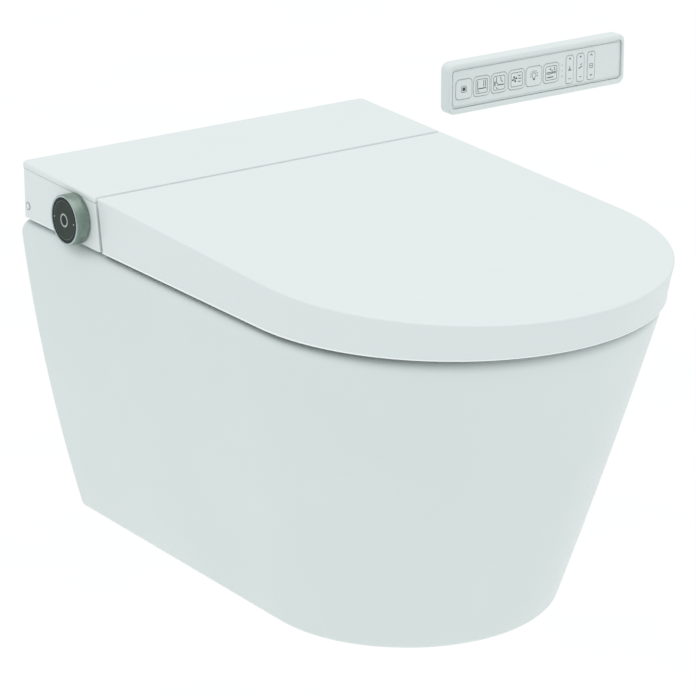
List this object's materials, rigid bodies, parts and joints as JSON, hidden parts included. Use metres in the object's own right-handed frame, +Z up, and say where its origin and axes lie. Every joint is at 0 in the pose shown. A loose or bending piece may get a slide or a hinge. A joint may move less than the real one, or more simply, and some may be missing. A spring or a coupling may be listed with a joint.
{
  "type": "electric bidet seat",
  "caption": "Wall-hung ceramic shower toilet with an electric bidet seat unit: hinged lid and seat, side control dial, sliding wash wand, warm-air dryer and wall remote.",
  "frame": {"origin": "on the wall plane, midway between the two wall bolts", "axes": "+Z up, +X to the right of someone facing the wall, front of the toilet towards -Y"},
  "size_m": [0.714, 0.59, 0.373],
  "materials": {
    "ceramic": "glazed ceramic",
    "shell_white": "gloss",
    "inner_white": "satin",
    "seal_rubber": "matte",
    "bumper_rubber": "matte",
    "zinc": "cast satin",
    "steel": "brushed",
    "dial_metal": "satin",
    "dial_glass": "gloss",
    "dark_plastic": "matte",
    "circuit_board": "satin",
    "heater_case": "satin",
    "brass": "satin",
    "heater_foil": "satin",
    "hose": "satin",
    "lamp_lens": "frosted",
    "remote_white": "satin",
    "battery_steel": "satin"
  },
  "bodies": {
    "pan": {"ceramic_pan": "ceramic", "flush_inlet_seal": "seal_rubber", "waste_outlet_seal": "seal_rubber", "wall_fixing_sleeves": "inner_white", "deck_gasket": "seal_rubber", "base_plate": "inner_white", "base_bolts": "steel", "housing_shell": "shell_white", "top_cover": "shell_white", "cover_screws": "steel", "hinge_towers": "zinc", "hinge_screws": "steel", "hinge_pins": "steel", "hinge_dampers": "dark_plastic", "dial_encoder": "dark_plastic", "control_board": "circuit_board", "water_heater": "heater_case", "inlet_valve": "brass", "supply_hose": "hose", "mains_gland": "dark_plastic", "night_light": "lamp_lens", "dryer_scroll": "inner_white", "dryer_motor": "dark_plastic", "wand_guide": "inner_white", "wand_motor": "steel", "remote_holder": "remote_white"},
    "seat": {"seat_top": "shell_white", "seat_underside": "inner_white", "seat_heater": "heater_foil", "seat_bumpers": "bumper_rubber", "seat_hinge_arms": "zinc"},
    "lid": {"lid_shell": "shell_white", "lid_liner": "shell_white", "lid_bumpers": "bumper_rubber", "lid_hinge_arms": "zinc"},
    "dial": {"dial_ring": "dial_metal"},
    "dial_face": {"dial_glass": "dial_glass"},
    "power_button": {"power_button": "shell_white"},
    "dryer_fan": {"dryer_fan": "dark_plastic"},
    "wand_pinion": {"wand_pinion": "inner_white"},
    "wand": {"wand_tube": "shell_white"},
    "nozzle": {"wand_nozzle": "steel", "wand_shield": "shell_white"},
    "remote": {"remote_case": "remote_white", "remote_face": "remote_white", "remote_board": "circuit_board", "remote_batteries": "battery_steel"},
    "key_stop": {"key_stop": "remote_white"},
    "key_rear_wash": {"key_rear_wash": "remote_white"},
    "key_front_wash": {"key_front_wash": "remote_white"},
    "key_dryer": {"key_dryer": "remote_white"},
    "key_light": {"key_light": "remote_white"},
    "key_flush": {"key_flush": "remote_white"},
    "rocker_pressure": {"rocker_pressure": "remote_white"},
    "rocker_position": {"rocker_position": "remote_white"},
    "rocker_temperature": {"rocker_temperature": "remote_white"}
  },
  "joints": [
    {"name": "seat_hinge", "type": "hinge", "parent": "pan", "child": "seat", "pos_m": [0, -0.1524, 0.123], "axis": [1, 0, 0], "range_deg": [-97, 0]},
    {"name": "lid_hinge", "type": "hinge", "parent": "seat", "child": "lid", "pos_m": [0, -0.1524, 0.123], "axis": [-1, 0, 0], "range_deg": [0, 105]},
    {"name": "dial_turn", "type": "hinge", "parent": "pan", "child": "dial", "pos_m": [-0.19, -0.097, 0.106], "axis": [-1, 0, 0], "continuous": true},
    {"name": "dial_press", "type": "slide", "parent": "dial", "child": "dial_face", "axis": [1, 0, 0], "range_m": [0, 0.001], "stiffness_N_per_m": 1500},
    {"name": "power_press", "type": "slide", "parent": "pan", "child": "power_button", "axis": [1, 0, 0], "range_m": [0, 0.0008], "stiffness_N_per_m": 800},
    {"name": "fan_spin", "type": "hinge", "parent": "pan", "child": "dryer_fan", "pos_m": [-0.046, -0.072, 0.105], "axis": [0, 0, 1], "continuous": true},
    {"name": "wand_slide", "type": "slide", "parent": "pan", "child": "wand", "axis": [0, -0.9397, -0.342], "range_m": [0, 0.09]},
    {"name": "nozzle_slide", "type": "slide", "parent": "wand", "child": "nozzle", "axis": [0, -0.9397, -0.342], "range_m": [0, 0.0601]},
    {"name": "pinion_spin", "type": "hinge", "parent": "pan", "child": "wand_pinion", "pos_m": [0.0211, -0.10469, 0.09058], "axis": [0, -0.342, 0.9397], "range_deg": [0, 650]},
    {"name": "remote_lift", "type": "slide", "parent": "pan", "child": "remote", "axis": [0, -1, 0], "range_m": [0, 0.03]},
    {"name": "key_stop_press", "type": "slide", "parent": "remote", "child": "key_stop", "axis": [0, 1, 0], "range_m": [0, 0.0007], "stiffness_N_per_m": 600},
    {"name": "key_rear_wash_press", "type": "slide", "parent": "remote", "child": "key_rear_wash", "axis": [0, 1, 0], "range_m": [0, 0.0007], "stiffness_N_per_m": 600},
    {"name": "key_front_wash_press", "type": "slide", "parent": "remote", "child": "key_front_wash", "axis": [0, 1, 0], "range_m": [0, 0.0007], "stiffness_N_per_m": 600},
    {"name": "key_dryer_press", "type": "slide", "parent": "remote", "child": "key_dryer", "axis": [0, 1, 0], "range_m": [0, 0.0007], "stiffness_N_per_m": 600},
    {"name": "key_light_press", "type": "slide", "parent": "remote", "child": "key_light", "axis": [0, 1, 0], "range_m": [0, 0.0007], "stiffness_N_per_m": 600},
    {"name": "key_flush_press", "type": "slide", "parent": "remote", "child": "key_flush", "axis": [0, 1, 0], "range_m": [0, 0.0007], "stiffness_N_per_m": 600},
    {"name": "rocker_pressure_tip", "type": "hinge", "parent": "remote", "child": "rocker_pressure", "pos_m": [0.4394, -0.0108, 0.1294], "axis": [1, 0, 0], "range_deg": [-2, 2], "stiffness_Nm_per_rad": 0.02},
    {"name": "rocker_position_tip", "type": "hinge", "parent": "remote", "child": "rocker_position", "pos_m": [0.4533, -0.0108, 0.1294], "axis": [1, 0, 0], "range_deg": [-2, 2], "stiffness_Nm_per_rad": 0.02},
    {"name": "rocker_temperature_tip", "type": "hinge", "parent": "remote", "child": "rocker_temperature", "pos_m": [0.4672, -0.0108, 0.1294], "axis": [1, 0, 0], "range_deg": [-2, 2], "stiffness_Nm_per_rad": 0.02}
  ],
  "couplings": [
    {"joint": "pinion_spin", "follows": "wand_slide", "rad_per_m": 125},
    {"joint": "nozzle_slide", "follows": "wand_slide", "ratio": 0.66667}
  ]
}
